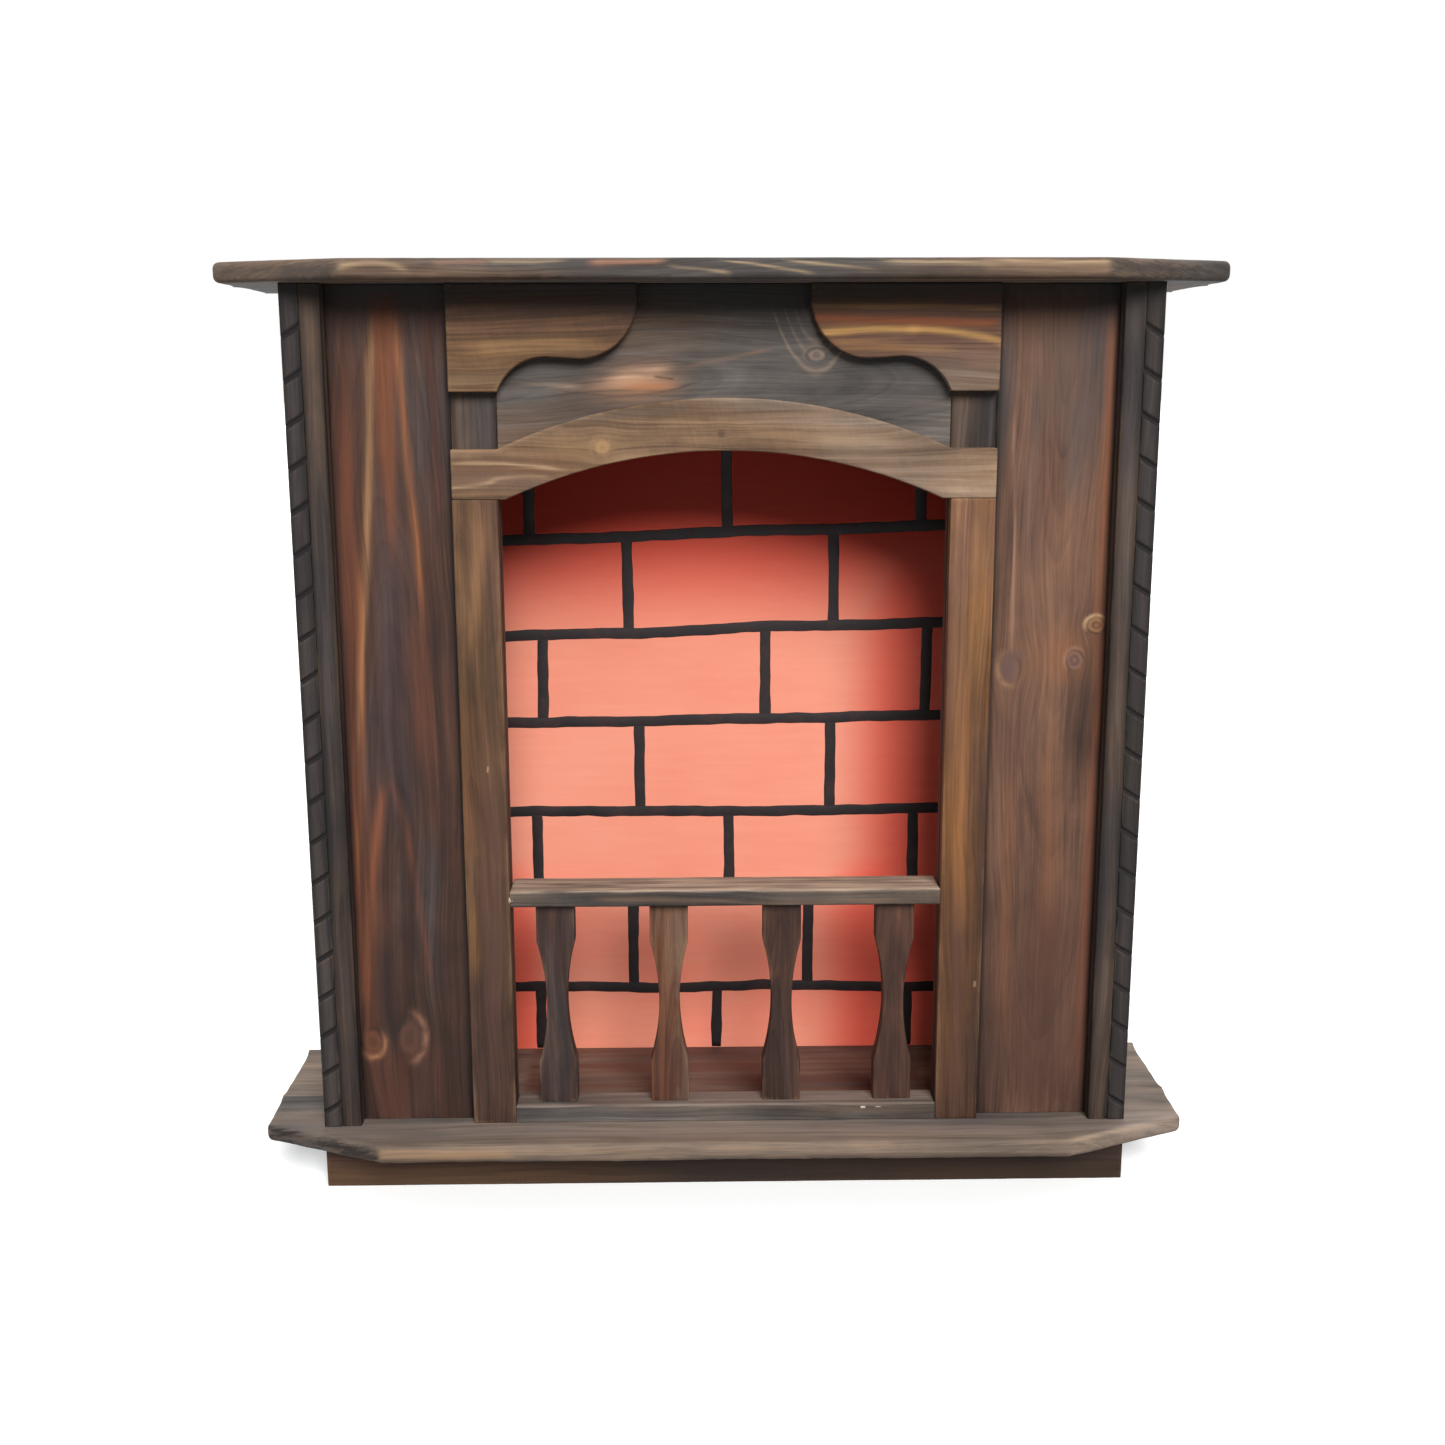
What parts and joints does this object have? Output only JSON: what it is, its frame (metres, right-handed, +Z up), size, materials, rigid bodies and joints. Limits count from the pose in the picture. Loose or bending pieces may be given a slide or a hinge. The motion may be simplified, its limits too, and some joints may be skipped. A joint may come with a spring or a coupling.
{
  "type": "decorative fireplace mantel",
  "caption": "Free-standing boarded mantel with a clipped-corner shelf and base, arched open firebox, low baluster fence and painted brick back panel.",
  "frame": {"origin": "middle of the footprint on the floor, at the foot of the plinth", "axes": "+X along the shelf to the right as seen from the front, -Y out of the front, +Z up"},
  "size_m": [1, 0.26, 0.975],
  "materials": {
    "plinth": "brushed pine, dark brown stain, matt",
    "base": "brushed pine, grey-brown stain worn to bare wood on its front edge, matt",
    "shelf": "brushed pine, grey-brown stain with tan streaks, matt",
    "side_board": "pine board, grey-brown stain, matt",
    "notched_strip": "pine strip, charcoal stain, matt",
    "pilaster": "pine board, dark brown stain with red-brown grain, matt",
    "stile": "pine board, grey-brown stain, matt",
    "frieze": "brushed pine, blue-grey stain with tan flames, matt",
    "column": "pine strip, golden brown stain, matt",
    "arch": "pine board, golden brown stain, matt",
    "corbel": "brushed pine, brown stain, matt",
    "rail": "pine strip, olive brown stain, matt",
    "sill": "pine strip, grey-brown stain, matt",
    "baluster": "pine board, dark brown stain, matt",
    "raw_pine": "bare planed pine",
    "painted_panel": "salmon matt paint with hand-painted black mortar lines on thin hardboard",
    "steel": "zinc-plated screws, brads and nails"
  },
  "bodies": {
    "root": {"plinth_front": "plinth", "plinth_rear": "plinth", "plinth_left": "plinth", "plinth_right": "plinth", "plinth_blocks": "raw_pine", "base_board_front": "base", "base_board_rear": "base", "side_board_left": "side_board", "side_board_right": "side_board", "notched_strip_left": "notched_strip", "notched_strip_right": "notched_strip", "pilaster_left": "pilaster", "pilaster_right": "pilaster", "stile_left": "stile", "stile_right": "stile", "frieze_board": "frieze", "column_left": "column", "column_right": "column", "arch_board": "arch", "corbel_left": "corbel", "corbel_right": "corbel", "balustrade_sill": "sill", "balustrade_rail": "rail", "baluster_1": "baluster", "baluster_2": "baluster", "baluster_3": "baluster", "baluster_4": "baluster", "brick_panel": "painted_panel", "shelf_board_front": "shelf", "shelf_board_rear": "shelf", "cleat_front": "raw_pine", "cleat_rear": "raw_pine", "cleat_left": "raw_pine", "cleat_right": "raw_pine", "batten_left_lower": "raw_pine", "batten_left_upper": "raw_pine", "batten_right_lower": "raw_pine", "batten_right_upper": "raw_pine", "plinth_brads": "steel", "block_screws": "steel", "base_screws": "steel", "shelf_screws": "steel", "cleat_screws": "steel", "batten_screws": "steel", "overlay_brads": "steel", "strip_brads": "steel", "balustrade_brads": "steel", "panel_nails": "steel"}
  },
  "joints": []
}
